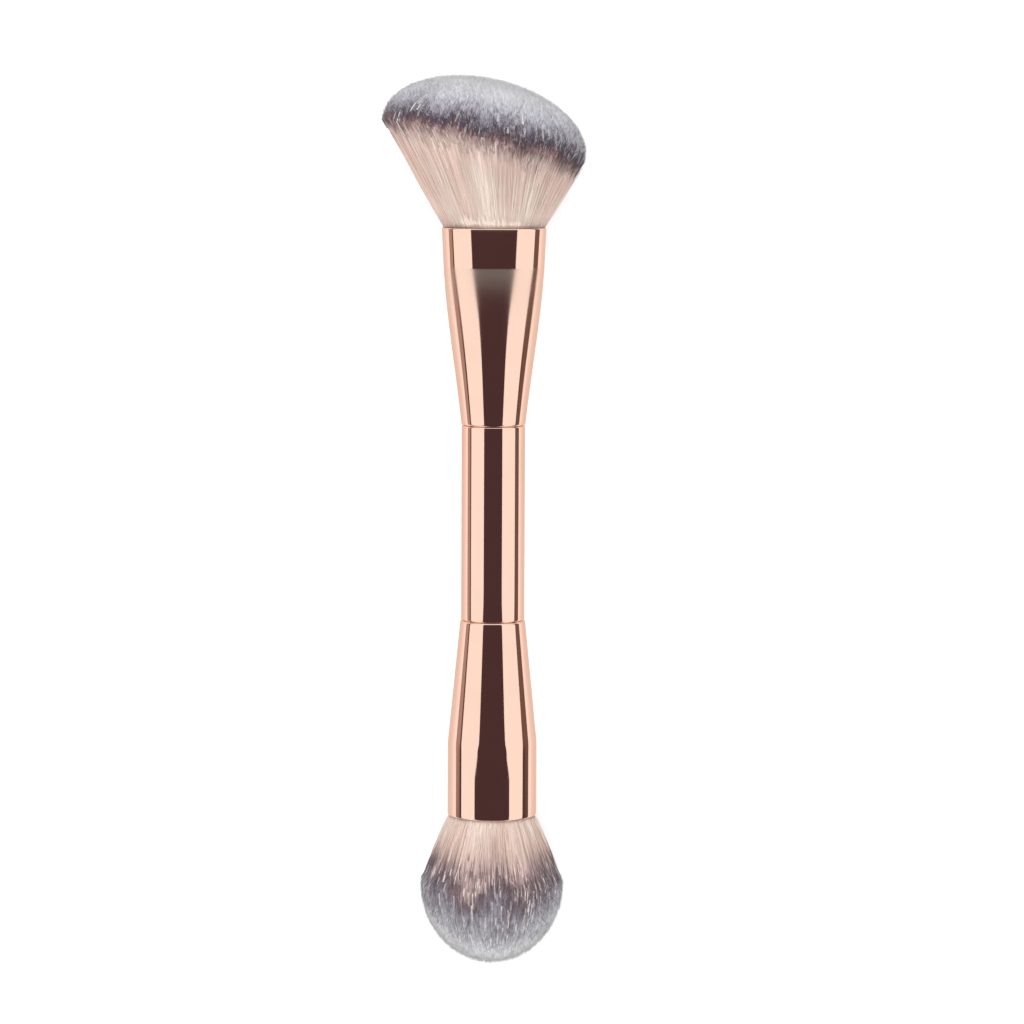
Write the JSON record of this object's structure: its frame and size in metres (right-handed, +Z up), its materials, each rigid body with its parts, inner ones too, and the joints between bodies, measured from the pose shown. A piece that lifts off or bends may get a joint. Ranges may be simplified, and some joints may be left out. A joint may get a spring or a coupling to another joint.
{
  "type": "double ended makeup brush",
  "caption": "Double ended makeup brush with a slanted dense head, a round fluffy head, two metal ferrules and a metal grip tube between them.",
  "frame": {"origin": "on the table under the middle of the whole brush, which lies on its side", "axes": "+Y along the brush towards the angled head, +Z up, the taller flank of the angled head at -X"},
  "size_m": [0.0424, 0.1862, 0.0296],
  "materials": {
    "plated_metal": "polished pink gold plating",
    "dense_hair": "dense synthetic hair, cream at the root, a dark plum band and pale grey tips",
    "fluffy_hair": "loose synthetic hair, cream at the root, plum in the middle and grey tips",
    "set_glue": "clear amber epoxy",
    "moulded_plastic": "dark moulded plastic"
  },
  "bodies": {
    "root": {"angled_bristles": "dense_hair", "angled_glue_plug": "set_glue", "angled_ferrule": "plated_metal", "angled_connector": "moulded_plastic", "grip_sleeve": "plated_metal", "round_connector": "moulded_plastic", "round_ferrule": "plated_metal", "round_glue_plug": "set_glue", "round_bristles": "fluffy_hair"}
  },
  "joints": []
}
